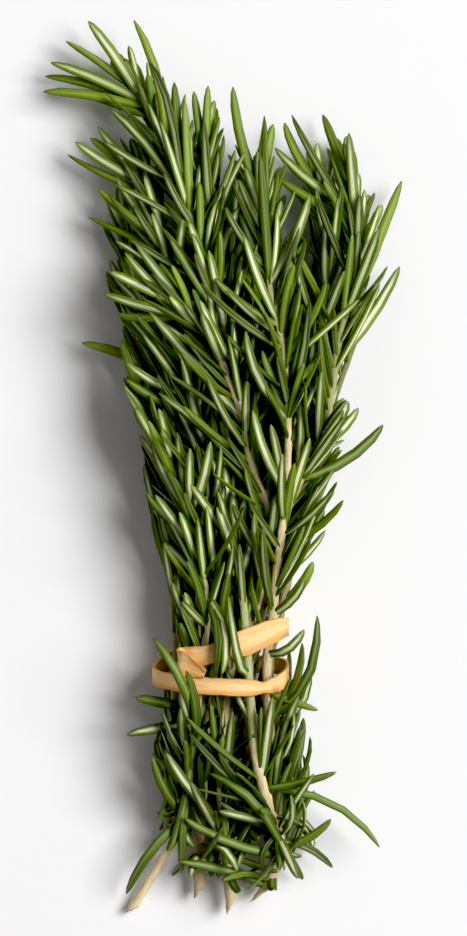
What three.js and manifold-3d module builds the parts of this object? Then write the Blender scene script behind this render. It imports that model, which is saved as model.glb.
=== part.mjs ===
// A tied bunch of cut rosemary, lying on a table: twelve leafy sprigs held by one strip of raffia.
// Millimetres, +Z up. The tips point to +Y, the cut stems to -Y, and the table is the plane z = 0.
import * as THREE from "three";
import { mergeVertices } from "three/addons/utils/BufferGeometryUtils.js";
import Module from "manifold-3d";

const wasm = await Module();
wasm.setup();

// Driving dimensions: the tie, which sets how tightly the stems are packed.
const tieHalfWidth = 14.2;
const tieHalfHeight = 9.8;
const tieCentreHeight = 10.45;
const stripWidth = 4.4;
const stripThickness = 0.8;
const stripCurl = 0.35;
const stripRodSides = [-0.38, 0, 0.38];
const stripRodRadius = 0.75;

// Driving dimensions: the needles, a pair at each node of a stem and the next pair a quarter turn on.
const needleWidth = 2.4;
const needleThickness = 1.3;
const needleLength = 20;
const tipNeedleLength = 11;
const nodeSpacing = 6.4;
const tipNodeSpacing = 3.6;
const openAngle = 44;
const tipOpenAngle = 17;
const crossingWobble = 16;
const tipZone = 32;
const bowAngle = 7;
const middleShare = 0.52;
const fullWidthShares = [0.3, 0.76];
const needleClearance = 2.3;
const ownClearance = 1.5;
const rootShare = 0.12;
const offStemShare = 0.6;
const stemClearance = 0.45;
const floorClearance = 0.4;

// Driving dimensions: the crown that the needles stay under, which is low at the tie and falls to the tips.
const crownHeight = 33;
const tipHeight = 12;
const waistHeight = 22.4;
const waistY = -45;
const waistRise = [10, 60];
const tipFall = [25, 95];

// Driving dimensions: the stems.
const stemSides = 5;
const buttRadius = 1.3;
const tipRadius = 0.6;
const shootThickness = 0.75;
const curveSamples = 12;
const ringSpacing = 9;
const buttSlant = 1.2;

// Each sprig's stem is a list of places [x, y, z] that it passes, from its cut end to its tip.
// leavesFrom is the y at which its needles begin. A needle of its own is given by the y of its root, its tip,
// how far its middle bows to the left of that line and, where it climbs over something, its middle.
const sprigs = [
  {
    name: "sprig_top_left_long",
    stem: [
      [2.1, -98.9, 4.2], [0.8, -88, 6.2], [-0.2, -70, 10], [1.8, -47, 13.6], [7.2, -32, 14],
      [10.4, -18, 15.6], [9.4, -8, 17.8], [6, 2, 20.6], [3.9, 14.8, 22.4], [-0.1, 32.7, 22],
      [-6.1, 52.7, 19], [-12.8, 70.6, 13.6], [-19.5, 85.1, 8.4],
    ],
    leavesFrom: -90,
    needles: [
      [82, [-30, 99.6, 10], -0.5], [84, [-35.1, 95.3, 7], -0.5], [70, [-19.8, 99.7, 13], 0, [-14.4, 86.5, 16.6]],
      [60, [-16.4, 90.2, 19.5], 0, [-11.8, 79.8, 21.5]], [82, [-38.4, 90.4, 8], -0.6],
      [81, [-39.7, 87.4, 5.4], -0.8], [80, [-40.1, 83.9, 7.6], -0.8], [78, [-37, 84.9, 4.6], -0.6],
      [57, [-25.3, 80, 15], -1.5], [61, [-16.6, 81, 18.4], 0], [58, [-13.9, 76.8, 21.4], 0],
      [62, [-10.8, 85.7, 16.5], 0], [56, [-8.4, 81.7, 18], 0],
      [26, [-19.5, 50.1, 27], 1], [25, [-21.7, 47.6, 25], 1], [10, [-16.2, 34.4, 28], 0],
      [-4, [-14.2, 16.4, 26], -1], [31, [-11.7, 50.7, 26], 0], [36, [-6.8, 51.8, 28], 0],
      [-79, [-12.4, -63.9, 19], 1],
    ],
    shoots: [
      {
        stem: [[4.6, 11, 22.4], [1.2, 20, 24.6], [-3.4, 29, 25.6], [-8.4, 35, 25.2], [-13.5, 38.5, 23.4]],
        leavesFrom: 24,
        needles: [[33.5, [-26.6, 38.7, 22.5], 0.5], [36, [-25.1, 43.4, 22], 0], [34, [-23.5, 34, 19], 1]],
      },
    ],
  },
  {
    name: "sprig_right",
    stem: [
      [7.9, -97.3, 4.4], [11.7, -89.5, 5.4], [11.4, -70, 8], [9.8, -47, 13], [11.2, -32.9, 16],
      [12.4, -20.8, 18.6], [14.4, -10, 19.8], [17.8, -2, 20.4], [22.9, 9.7, 20.6], [26.4, 30, 19.6],
      [30, 42.5, 16.8], [29.5, 58.1, 12], [28.4, 69, 8.6],
    ],
    leavesFrom: -89,
    needles: [
      [50, [28.2, 74.4, 15], 0], [35, [40.1, 63.9, 6], -0.3], [38, [36, 53.6, 11], -0.5],
      [24, [39.6, 44.7, 7], -1], [-3, [35.8, 9.3, 15], -2], [4, [30.2, 13, 22], -1],
      [55, [15.5, 78.6, 9.4], 0.6], [53, [12.8, 64.3, 8.4], 0], [57, [11.7, 71.2, 11.4], 1],
      [60, [22.4, 78.8, 6], 0], [7, [27.8, 14.6, 20], -1], [46, [30.7, 60.5, 18], 0],
      [-56, [21.1, -33.3, 20], 0, [18.8, -47.5, 17.6]], [-94, [-9.9, -88.2, 13], 0, [1.5, -90.5, 9.8]],
      [-80, [17.3, -57.9, 17], 0], [-33, [18.2, -25.1, 20], -1], [-50, [21.3, -54.4, 15], 0],
      [-74, [17, -51.2, 20], 0, [13.2, -61.4, 17]], [-42, [18.2, -36.4, 18.6], 0, [14.4, -40.8, 18]],
    ],
    shoots: [
      {
        stem: [
          [12.7, -18.5, 19.2], [14, -8, 21.4], [14.6, 3, 23], [14.6, 14, 24.4], [13.6, 26, 24.6],
          [10.6, 39.4, 23], [8.8, 52.7, 19], [7.6, 66, 14.6],
        ],
        leavesFrom: 10,
        needles: [
          [60, [2.3, 84.8, 13], 1], [47, [9.3, 78.1, 20], 0], [40, [8.4, 69.5, 25], 0],
          [26, [-4.8, 40.7, 31], 1], [31, [-1.7, 41.8, 28], 1], [12, [19.3, 37.1, 29], -1],
          [10, [5.2, 30, 30], 2], [-6, [6.8, 12.4, 27], 1], [62, [11.3, 76.4, 15], 0],
          [40, [19.5, 60.6, 21], -1], [-19, [5.9, -7.9, 25], 0], [24, [23.1, 41.4, 26], -1],
        ],
      },
    ],
  },
  {
    name: "sprig_left_cluster",
    stem: [
      [-5.2, -95.8, 4.4], [-5, -84, 6], [-4, -65, 9], [-2.2, -47, 11], [-1.6, -30, 11.6],
      [-3, -10, 14], [-5, 8, 16.6], [-8.4, 30.4, 17.2], [-13.4, 52.7, 12.6], [-17.5, 66, 8.4],
    ],
    leavesFrom: -88,
    needles: [
      [62, [-28, 76.1, 9], 0], [62.5, [-32.9, 72.6, 10.4], 0.5], [61, [-34.7, 69.9, 6], 0.5],
      [64, [-29.6, 73.6, 6], 0], [50, [-27.8, 62.1, 12], 0.5], [47, [-30, 55.9, 8], 0], [14, [-17.7, 29.3, 25], 0],
      [20, [-11, 33.1, 20], 0], [15.5, [-21.5, 23.3, 22], 1], [12, [-21.5, 19.6, 19], 1], [-14, [-5.7, 5.2, 22], 0],
    ],
  },
  {
    name: "sprig_centre_top",
    stem: [
      [-1.4, -84, 4.2], [0.6, -66, 6.4], [1.6, -47, 7.6], [2, -30, 9], [2.4, -15, 12],
      [2, 5, 15.2], [1, 25, 16], [-1.7, 46, 15.4], [-3.4, 59, 13.6], [-3.8, 72, 11.2],
    ],
    leavesFrom: -81,
    needles: [
      [67, [-6.4, 83.9, 10], 0], [69, [-3.2, 85.1, 12], 0], [52, [-4.1, 77, 19], 0],
    ],
  },
  {
    name: "sprig_top_right",
    stem: [
      [5.8, -86, 4.8], [6, -74, 6.6], [5.6, -47, 10.6], [9.6, -30, 11.6], [13.2, -14, 13.4],
      [16.8, 3.7, 15], [19.6, 20, 14.6], [23, 36, 13.4], [24.2, 50, 11], [22, 64, 8],
    ],
    leavesFrom: -82,
    needles: [[62, [13.9, 77, 7], 1], [-18, [26.9, -7.5, 19], -1.5], [-26, [22.9, -14.2, 17], -1]],
  },
  {
    name: "sprig_far_left",
    stem: [
      [-20.4, -99.6, 2.6], [-14.8, -90, 4.6], [-9.6, -80, 8.4], [-7, -65, 12.6], [-4.8, -47, 16.2],
      [-3.3, -31, 17.2], [-5.4, -20.8, 17.2], [-8.4, -9, 17], [-11.4, 0.6, 16.6], [-15.4, 8, 16],
      [-18.6, 16, 15],
    ],
    leavesFrom: -74,
    needles: [
      [14, [-22.6, 28, 17], 0], [-4, [-18.4, 7, 22], 0],
      [-18, [-12.4, -0.8, 23], -1], [-79, [-21.6, -95.7, 6], 0, [-16.6, -86.6, 11.4]], [-78, [-15.5, -64.8, 19], 1],
      [-60, [-8.1, -45.5, 25], 0, [-6, -53.6, 22]], [-36, [-9, -30, 21], 0],
      [-58, [-15.4, -38.2, 24], 0, [-9.4, -47, 27]],
    ],
  },
  {
    name: "sprig_middle_left",
    stem: [
      [-9.4, -83, 4.8], [-8.6, -68, 8.4], [-6.6, -47, 12], [-5.2, -28, 11.2], [-6.4, -10, 11.4],
      [-8, 5.9, 12.2], [-10.6, 18.2, 12.4], [-14.6, 30, 11.6], [-18, 40, 10.4],
    ],
    leavesFrom: -80,
    needles: [
      [24, [-23, 34, 15], 0], [-46, [-9.4, -34.8, 16.6], 0], [-54, [-19.4, -51.6, 14], 0],
      [-58, [-21.3, -59.9, 15], 0, [-14.4, -58.4, 15.6]],
    ],
  },
  {
    name: "sprig_lower_right",
    stem: [
      [16.2, -82, 3.4], [14, -67, 5.4], [10.4, -47, 8.8], [12.6, -34, 9], [15.6, -20.8, 10.2],
      [18.6, -7.5, 11.2], [21.8, 5.9, 11.2], [26, 18, 10.6], [29.6, 28, 9.8],
    ],
    leavesFrom: -79,
    needles: [[-31, [20.2, -21.3, 13], -1]],
  },
  {
    name: "sprig_pale_front",
    stem: [
      [14.6, -89.1, 8], [11, -77.7, 13.4], [7.7, -65.7, 17], [6.2, -52, 18], [5.4, -41, 17.8],
      [4.2, -27, 17.4], [1.6, -14, 16.2], [-1.4, -2, 15.8], [-2.4, 8, 16.4],
    ],
    leavesFrom: -82,
    needles: [
      [-8, [-2.3, 12.5, 19.5], 0], [-24, [-1.2, -8.8, 23], 0], [-46, [1.2, -28.7, 24.5], 0, [3.4, -42.8, 23.8]],
      [-77, [-7.2, -59.4, 22], 1], [-86, [-3.2, -68.3, 17], 0, [7.2, -75, 19.4]], [-87, [-8.6, -78.4, 14], 1.5],
      [-72, [35.1, -85.1, 12], 4], [-72, [25.3, -68.1, 19], -0.5], [-85, [24.2, -78.8, 12], -1],
      [-83, [24.6, -89.8, 8], 1.5], [-80, [-0.8, -76.8, 17], 0], [-85, [17.9, -92.6, 5], 0],
      [-70, [11.2, -51.4, 23], 0],
    ],
  },
  {
    name: "sprig_back_left",
    stem: [
      [-12, -81, 3.4], [-11.6, -66, 6.6], [-10.2, -47, 9.4], [-10.8, -30, 8.4], [-11.8, -12, 7.4],
      [-13.6, 6, 7.2], [-16.4, 24, 6.8], [-19.4, 40, 5.6], [-22, 54, 4.4],
    ],
    leavesFrom: -78,
    needles: [[22, [-22, 40, 1], 0, [-19.6, 31, 0.5]], [22, [-31.5, 27.6, 8], -0.5]],
  },
  {
    name: "sprig_back_right",
    stem: [
      [8.8, -83, 2.8], [7.8, -66, 4.4], [6.4, -47, 5.8], [10, -28, 5.4], [15, -8, 5.4],
      [20, 12, 5.4], [24.6, 32, 5.2], [28, 50, 4.6],
    ],
    leavesFrom: -80,
    needles: [[12, [28, 33, 1], 0, [25, 23, 0.5]]],
  },
  {
    name: "sprig_back_centre",
    stem: [
      [-4.4, -85, 2.5], [-3.8, -68, 3.8], [-2.6, -47, 4.6], [-1.6, -26, 4.8], [1, -4, 5.6],
      [4.4, 18, 6], [7.4, 38, 6], [10, 58, 5.6],
    ],
    leavesFrom: -82,
    needles: [[24, [5, 46, 1], 0, [5.4, 36, 0.5]]],
  },
];

// The strip winds from a folded-over end at the front left, up over the front to the right, round the back,
// over the front again lower down, and ends behind. Each knot is [angle round the bunch in degrees, y, offset,
// share of the strip's full width].
const stripKnots = [
  [104, -46.2, 2.3, 0.35], [110, -45.6, 2.25, 0.6], [118, -44.7, 2.2, 0.85], [126, -43.7, 2.15, 0.95],
  [131, -43.1, 1.1, 0.95],
  [127, -42.8, 0, 0.9], [116, -42.5, 0, 0.85], [102, -41.9, 0, 0.85], [88, -40.7, 0, 0.9],
  [70, -39.2, 0.1, 1], [50, -37.4, 0.1, 1], [28, -36.1, 0, 0.95], [0, -35.8, 0, 0.9], [-30, -36.6, 0, 0.9],
  [-60, -38, 0, 0.9], [-90, -39.8, 0, 0.9], [-120, -41.9, 0, 0.9], [-150, -44.2, 0.2, 0.85],
  [-180, -46.2, 0.8, 0.8], [-205, -47.4, 1, 0.8], [-230, -48.3, 1.2, 0.8], [-250, -48.8, 0.9, 0.8],
  [-270, -49.1, 0.5, 0.8], [-290, -49.3, 0.2, 0.8], [-312, -49.2, 0, 0.75], [-335, -47.8, 0, 0.8],
  [-360, -45.8, 0, 0.85], [-385, -44.8, 0, 0.85], [-410, -44.4, 0, 0.85], [-432, -44.4, 0, 0.85],
];

// The outline of the bunch from above, which the needles that grow by rule stay inside, and the two places
// [x, y, radius] in it where the table shows through.
const outline = [
  [-12, -92], [-15, -80], [-16, -65], [-14, -55], [-12.5, -45], [-10, -36], [-11.5, -27], [-14.5, -16],
  [-17.5, -4], [-19, 10], [-22, 18], [-23, 30], [-22, 36], [-27, 40], [-25, 49], [-23, 52], [-30, 56],
  [-25, 63], [-34, 70], [-29, 77], [-27, 80], [-38, 84], [-38, 91], [-30, 98], [-20, 98], [-12, 88],
  [-6, 84], [2, 84], [6, 77], [13, 77], [22, 78], [29, 73], [31, 62], [37, 61], [35, 50], [37, 44],
  [32, 33], [27, 26], [25, 20], [29, 12], [27, 3], [25, -6], [21, -13], [17, -22], [15, -30],
  [15.5, -42], [16, -52], [20, -58], [19, -66], [22, -70], [18, -77], [22, -81], [19, -91], [8, -96],
];
const gaps = [[15, 57.9, 2.4], [19.7, 53.6, 1.8]];

// The stretches of stem that lie bare to the eye: [number of the stem, counted with the shoots, from y, to y].
// The needles keep off a slim space over them.
const bareStretches = [[0, -9, 9], [2, 17, 33], [2, -33, -17], [7, -30, -22], [10, -41, -31]];
const bareFrom = 2.6;
const bareTo = 13;
const bareRadius = 0.8;

// The seed of a shoot's draws stands this far from its sprig's.
const shootSeed = 20;

const tableSize = [300, 400, 20];

const leafColours = ["#3f5b20", "#4a6a26", "#41602a", "#527330"];
const tieColour = "#e6c184";

const radians = THREE.MathUtils.degToRad;

// A repeatable draw between 0 and 1 for a sprig, a node of its stem and a purpose.
function draw(sprig, node, purpose) {
  const wave = Math.sin(sprig * 127.1 + node * 311.7 + purpose * 74.7) * 43758.5453;
  return wave - Math.floor(wave);
}

function between(low, high, share) {
  return low + (high - low) * share;
}

// A closed solid through rings of points, each with as many points as the next, with flat ends.
function loft(rings) {
  const sides = rings[0].length;
  const triangles = [];
  rings.slice(1).forEach((ring, i) => {
    for (let side = 0; side < sides; side++) {
      const next = (side + 1) % sides;
      triangles.push([i * sides + side, i * sides + next, (i + 1) * sides + next]);
      triangles.push([i * sides + side, (i + 1) * sides + next, (i + 1) * sides + side]);
    }
  });
  const last = (rings.length - 1) * sides;
  let low = 0;
  let high = sides - 1;
  while (high - low > 1) {
    const fromLow = (low + high) % 2 === (sides - 1) % 2;
    const corner = fromLow ? low + 1 : high - 1;
    triangles.push([high, corner, low]);
    triangles.push([last + low, last + corner, last + high]);
    if (fromLow) low = corner;
    else high = corner;
  }
  return solid(rings.flat(), triangles);
}

function solid(points, triangles) {
  return new wasm.Manifold(
    new wasm.Mesh({
      numProp: 3,
      vertProperties: new Float32Array(points.flatMap((point) => point.toArray())),
      triVerts: new Uint32Array(triangles.flat()),
    }),
  );
}

// A stem as a fine line of points, with the length run so far at each.
function stemLine(places) {
  const curve = new THREE.CatmullRomCurve3(
    places.map((place) => new THREE.Vector3(...place)),
    false,
    "catmullrom",
    0.5,
  );
  const points = curve.getPoints((places.length - 1) * curveSamples);
  const runs = [0];
  points.slice(1).forEach((point, i) => runs.push(runs[i] + point.distanceTo(points[i])));
  return { points, runs, length: runs[runs.length - 1] };
}

// The place, direction and two side directions of a stem at a length from its cut end.
function stemAt(line, run) {
  const limited = THREE.MathUtils.clamp(run, 0, line.length - 1e-6);
  let i = line.runs.findIndex((length) => length > limited) - 1;
  i = THREE.MathUtils.clamp(i, 0, line.points.length - 2);
  const share = (limited - line.runs[i]) / (line.runs[i + 1] - line.runs[i]);
  const place = line.points[i].clone().lerp(line.points[i + 1], share);
  const direction = line.points[i + 1].clone().sub(line.points[i]).normalize();
  const right = new THREE.Vector3().crossVectors(direction, new THREE.Vector3(0, 0, 1)).normalize();
  const up = new THREE.Vector3().crossVectors(right, direction);
  return { place, direction, right, up };
}

function runAtY(line, y) {
  let best = 0;
  line.points.forEach((point, i) => {
    if (Math.abs(point.y - y) < Math.abs(line.points[best].y - y)) best = i;
  });
  return line.runs[best];
}

function stemRadius(line, run) {
  return between(buttRadius, tipRadius, run / line.length) * line.thickness;
}

// A stem is a five-sided rod that thins to its tip, and is cut on a slant where it was picked.
function stemSolid(line) {
  const steps = Math.round(line.length / ringSpacing);
  const rings = [];
  for (let step = 0; step <= steps; step++) {
    const run = (line.length * step) / steps;
    const { place, direction, right, up } = stemAt(line, run);
    const radius = stemRadius(line, run);
    const slant = step === 0 ? buttSlant : 0;
    const ring = [];
    for (let side = 0; side < stemSides; side++) {
      const turn = (side / stemSides) * 2 * Math.PI;
      ring.push(
        place
          .clone()
          .addScaledVector(right, radius * Math.cos(turn))
          .addScaledVector(up, -radius * Math.sin(turn))
          .addScaledVector(direction, slant * Math.cos(turn)),
      );
    }
    rings.push(ring);
  }
  return loft(rings);
}

// A needle is a three-sided blade: its two edges lie across, and its keel is below them. It runs from its
// root inside the stem through its middle to its tip, and facing points out of its upper face.
function needleSolid({ root, middle, tip, facing, width }) {
  const bend = middle.clone().multiplyScalar(2).addScaledVector(root, -0.5).addScaledVector(tip, -0.5);
  const curve = new THREE.QuadraticBezierCurve3(root, bend, tip);
  const depth = (needleThickness * width) / needleWidth;
  const corners = fullWidthShares.flatMap((share) => {
    const place = curve.getPoint(share);
    const direction = curve.getTangent(share);
    const across = new THREE.Vector3().crossVectors(direction, facing).normalize();
    const above = new THREE.Vector3().crossVectors(across, direction);
    return [
      place.clone().addScaledVector(across, width / 2).addScaledVector(above, depth / 3),
      place.clone().addScaledVector(above, (-2 * depth) / 3),
      place.clone().addScaledVector(across, -width / 2).addScaledVector(above, depth / 3),
    ];
  });
  const triangles = [0, 1, 2].flatMap((side) => {
    const next = (side + 1) % 3;
    return [
      [6, next, side],
      [side, next, next + 3],
      [side, next + 3, side + 3],
      [side + 3, next + 3, 7],
    ];
  });
  return solid([...corners, root, tip], triangles);
}

// The shortest distance between two straight stretches.
function gapBetween(a, b, c, d) {
  const ab = b.clone().sub(a);
  const cd = d.clone().sub(c);
  const ca = a.clone().sub(c);
  const abab = ab.dot(ab);
  const cdcd = cd.dot(cd);
  const abcd = ab.dot(cd);
  const abca = ab.dot(ca);
  const cdca = cd.dot(ca);
  const cross = abab * cdcd - abcd * abcd;
  let s = cross > 1e-9 ? THREE.MathUtils.clamp((abcd * cdca - abca * cdcd) / cross, 0, 1) : 0;
  let t = (abcd * s + cdca) / cdcd;
  if (t < 0 || t > 1) {
    t = THREE.MathUtils.clamp(t, 0, 1);
    s = THREE.MathUtils.clamp((abcd * t - abca) / abab, 0, 1);
  }
  return a.clone().addScaledVector(ab, s).distanceTo(c.clone().addScaledVector(cd, t));
}

// What a needle must keep clear of, as stretches of rod: the other sprigs' stems and needles, and the tie.
// The needles of its own sprig have a smaller radius of their own, away from their roots.
const rods = [];

function addRod(owner, from, to, radius, ownRadius = 0) {
  const centre = from.clone().lerp(to, 0.5);
  rods.push({ owner, from, to, radius, ownRadius, centre, reach: from.distanceTo(to) / 2 });
}

function isClear(owner, from, to, radius, ownRadius) {
  const centre = from.clone().lerp(to, 0.5);
  const reach = from.distanceTo(to) / 2;
  return rods.every((rod) => {
    const isOwn = rod.owner === owner;
    if (isOwn && !(rod.ownRadius && ownRadius)) return true;
    const least = isOwn ? rod.ownRadius + ownRadius : rod.radius + radius;
    if (rod.centre.distanceTo(centre) > rod.reach + reach + least) return true;
    return gapBetween(from, to, rod.from, rod.to) >= least;
  });
}

// Whether a place is inside the bunch's outline from above and under its crown, which falls to the tips.
function isInside({ x, y, z }) {
  const waist = THREE.MathUtils.smoothstep(Math.abs(y - waistY), ...waistRise);
  const fall = THREE.MathUtils.smoothstep(y, ...tipFall);
  const top = Math.min(between(waistHeight, crownHeight, waist), between(crownHeight, tipHeight, fall));
  if (z > top || z < floorClearance) return false;
  if (gaps.some(([gapX, gapY, radius]) => Math.hypot(x - gapX, y - gapY) < radius)) return false;
  let inside = false;
  outline.forEach(([x1, y1], i) => {
    const [x2, y2] = outline[(i + 1) % outline.length];
    if (y1 > y !== y2 > y && x < x1 + ((x2 - x1) * (y - y1)) / (y2 - y1)) inside = !inside;
  });
  return inside;
}

function tryNeedle(owner, { root, middle, tip }, isGrown) {
  const reach = needleClearance / 2;
  const ownReach = ownClearance / 2;
  const near = root.clone().lerp(middle, rootShare);
  const off = root.clone().lerp(middle, offStemShare);
  const stretches = [[near, off, 0], [off, middle, ownReach], [middle, tip, ownReach]];
  if (isGrown && !(isInside(middle) && isInside(tip))) return false;
  if (!stretches.every(([from, to, own]) => isClear(owner, from, to, reach, isGrown ? own : 0))) return false;
  stretches.forEach(([from, to, own]) => addRod(owner, from, to, reach, own));
  return true;
}

// A needle that grows at an angle round its stem, opens from it and bows back towards it.
function grownNeedle(line, run, turn, open, length, bow) {
  const { place, direction, right, up } = stemAt(line, run);
  const outward = right.clone().multiplyScalar(Math.cos(turn)).addScaledVector(up, Math.sin(turn));
  const heading = (angle) =>
    direction
      .clone()
      .multiplyScalar(Math.cos(angle))
      .addScaledVector(outward, Math.sin(angle));
  const middle = place.clone().addScaledVector(heading(open + bow), length * middleShare);
  const tip = middle.clone().addScaledVector(heading(open - bow), length * (1 - middleShare));
  return { root: place, middle, tip, facing: direction.clone(), width: needleWidth };
}

// A needle that the photo shows, to its own tip. It is turned to face up as far as it can.
function shownNeedle(line, [rootY, tipPlace, bow, middlePlace]) {
  const root = stemAt(line, runAtY(line, rootY)).place;
  const tip = new THREE.Vector3(...tipPlace);
  const along = tip.clone().sub(root).normalize();
  const left = new THREE.Vector3(-along.y, along.x, 0).normalize();
  const bowed = root.clone().lerp(tip, middleShare).addScaledVector(left, bow);
  bowed.z += 0.6;
  const middle = middlePlace ? new THREE.Vector3(...middlePlace) : bowed;
  return { root, middle, tip, facing: new THREE.Vector3(0, 0.35, 1), width: needleWidth };
}

// The needles of one stem: a pair at each node, crossed with the pair before. A needle that would touch
// another sprig is bent, turned or shortened until it is clear, and is left out where nothing helps.
function growNeedles({ owner, seed, line, leavesFrom }) {
  const first = runAtY(line, leavesFrom);
  const grown = [];
  let run = first;
  for (let node = 0; run < line.length - 1; node++) {
    const fromTip = THREE.MathUtils.smoothstep(run, line.length - tipZone, line.length);
    const size = between(0.85, 1.15, draw(seed, node, 1));
    const length = between(needleLength, tipNeedleLength, fromTip) * size;
    const open = radians(between(openAngle, tipOpenAngle, fromTip));
    const crossed = radians(90 * node + 45 + between(-crossingWobble, crossingWobble, draw(seed, node, 2)));
    for (const side of [0, 1]) {
      const turn = crossed + side * Math.PI;
      const bow = radians(between(-bowAngle / 2, bowAngle, draw(seed, node, 3 + side)));
      const needle = firstClear(owner, line, run, turn, open, length, bow);
      if (needle) grown.push(needle);
    }
    run += between(nodeSpacing, tipNodeSpacing, fromTip) * between(0.88, 1.12, draw(seed, node, 5));
  }
  return grown;
}

function firstClear(owner, line, run, turn, open, length, bow) {
  for (const shorter of [1, 0.84, 0.68]) {
    for (const opening of [1, 0.75, 1.25, 0.5]) {
      for (const aside of [0, 20, -20, 40, -40]) {
        const needle = grownNeedle(line, run, turn + radians(aside), open * opening, length * shorter, bow);
        if (tryNeedle(owner, needle, true)) return needle;
      }
    }
  }
  return null;
}

// The strip's middle line as knots round the bunch, and the frame of each.
function stripPlaces() {
  return stripKnots.map(([angle, y, offset]) => {
    const turn = radians(angle);
    return new THREE.Vector3(
      (tieHalfWidth + offset) * Math.cos(turn),
      y,
      tieCentreHeight + (tieHalfHeight + offset) * Math.sin(turn),
    );
  });
}

function stripFrames() {
  const curve = new THREE.CatmullRomCurve3(stripPlaces(), false, "catmullrom", 0.5);
  const steps = stripKnots.length * 2;
  const frames = [];
  for (let step = 0; step <= steps; step++) {
    const place = curve.getPoint(step / steps);
    const along = curve.getTangent(step / steps);
    const across = new THREE.Vector3(0, 1, 0);
    across.addScaledVector(along, -along.y).normalize();
    const out = new THREE.Vector3().crossVectors(along, across);
    const knots = (step / steps) * (stripKnots.length - 1);
    const knot = Math.min(Math.floor(knots), stripKnots.length - 2);
    const width = stripWidth * between(stripKnots[knot][3], stripKnots[knot + 1][3], knots - knot);
    frames.push({ place, across, out, width });
  }
  return frames;
}

// The tie is one flat strip whose edges curl a little away from the stems.
function tieSolid() {
  const rings = stripFrames().map(({ place, across, out, width }) => {
    const curl = stripCurl * between(0.2, 1, out.z / 2 + 0.5);
    const lift = [curl, 0, curl];
    const row = (height) =>
      [-1, 0, 1].map((side, i) =>
        place
          .clone()
          .addScaledVector(across, (side * width) / 2)
          .addScaledVector(out, lift[i] + height),
      );
    return [...row(0), ...row(stripThickness).reverse()];
  });
  return loft(rings);
}

function addTieRods() {
  const frames = stripFrames();
  frames.slice(1).forEach((frame, i) => {
    for (const side of stripRodSides) {
      const from = frames[i].place.clone().addScaledVector(frames[i].across, side * frames[i].width);
      const to = frame.place.clone().addScaledVector(frame.across, side * frame.width);
      from.addScaledVector(frames[i].out, stripThickness / 2);
      to.addScaledVector(frame.out, stripThickness / 2);
      addRod("tie", from, to, stripRodRadius);
    }
  });
}

// The table, as a slab that trims whatever would dip through it.
function tableSlab() {
  const slab = new THREE.BoxGeometry(...tableSize).translate(0, 0, -tableSize[2] / 2);
  slab.deleteAttribute("normal");
  slab.deleteAttribute("uv");
  const merged = mergeVertices(slab);
  return new wasm.Manifold(
    new wasm.Mesh({
      numProp: 3,
      vertProperties: merged.attributes.position.array,
      triVerts: new Uint32Array(merged.index.array),
    }),
  );
}

// The one body that a join leaves when its loose scraps go and its sealed hollows are filled.
function oneBody(joined) {
  return joined.decompose().reduce((a, b) => (b.volume() > a.volume() ? b : a));
}

function meshOf(name, made, colour, roughness) {
  const { vertProperties, triVerts } = made.getMesh();
  const geometry = new THREE.BufferGeometry();
  geometry.setAttribute("position", new THREE.BufferAttribute(vertProperties, 3));
  geometry.setIndex(new THREE.BufferAttribute(triVerts, 1));
  geometry.computeVertexNormals();
  const material = new THREE.MeshStandardMaterial({ color: colour, roughness, metalness: 0 });
  const mesh = new THREE.Mesh(geometry, material);
  mesh.name = name;
  return mesh;
}

// Every stem and side shoot as a line, and the rods that stand for them.
const stems = sprigs.flatMap((sprig, owner) =>
  [sprig, ...(sprig.shoots ?? [])].map((part, shoot) => {
    const line = stemLine(part.stem);
    line.thickness = shoot ? shootThickness : 1;
    return { owner, seed: owner + shoot * shootSeed, line, leavesFrom: part.leavesFrom, needles: part.needles };
  }),
);
stems.forEach(({ owner, line }) => {
  for (let run = 0; run < line.length; run += ringSpacing / 2) {
    const from = stemAt(line, run);
    const to = stemAt(line, run + ringSpacing / 2);
    addRod(owner, from.place, to.place, stemRadius(line, run) + stemClearance);
  }
});
addTieRods();
bareStretches.forEach(([stem, fromY, toY]) => {
  const { line } = stems[stem];
  for (let run = runAtY(line, fromY); run < runAtY(line, toY); run += ringSpacing / 3) {
    const { place } = stemAt(line, run);
    const above = (height) => place.clone().add(new THREE.Vector3(0, 0, height));
    addRod("view", above(bareFrom), above(bareTo), bareRadius);
  }
});

// The needles that the photo shows are placed first, then those that the rule grows.
const needlesOf = sprigs.map(() => []);
stems.forEach(({ owner, line, needles }) => {
  const shown = needles.map((given) => shownNeedle(line, given));
  needlesOf[owner].push(...shown.filter((needle) => tryNeedle(owner, needle, false)));
});
stems.forEach((stem) => needlesOf[stem.owner].push(...growNeedles(stem)));

const bunch = new THREE.Group();
const table = tableSlab();
sprigs.forEach((sprig, owner) => {
  const wood = stems.filter((stem) => stem.owner === owner).map(({ line }) => stemSolid(line));
  const blades = needlesOf[owner].map(needleSolid);
  const joined = [...wood, ...blades].reduce((whole, piece) => whole.add(piece));
  const colour = leafColours[owner % leafColours.length];
  bunch.add(meshOf(sprig.name, oneBody(joined.subtract(table)), colour, 0.5));
});
bunch.add(meshOf("raffia_tie", oneBody(tieSolid().subtract(table)), tieColour, 0.7));

export default bunch;
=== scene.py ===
# A tied bunch of cut rosemary on a pale table, seen from straight above.
# The model is in metres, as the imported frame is. Places on stems, needles and tie are given in millimetres.
import math

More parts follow.
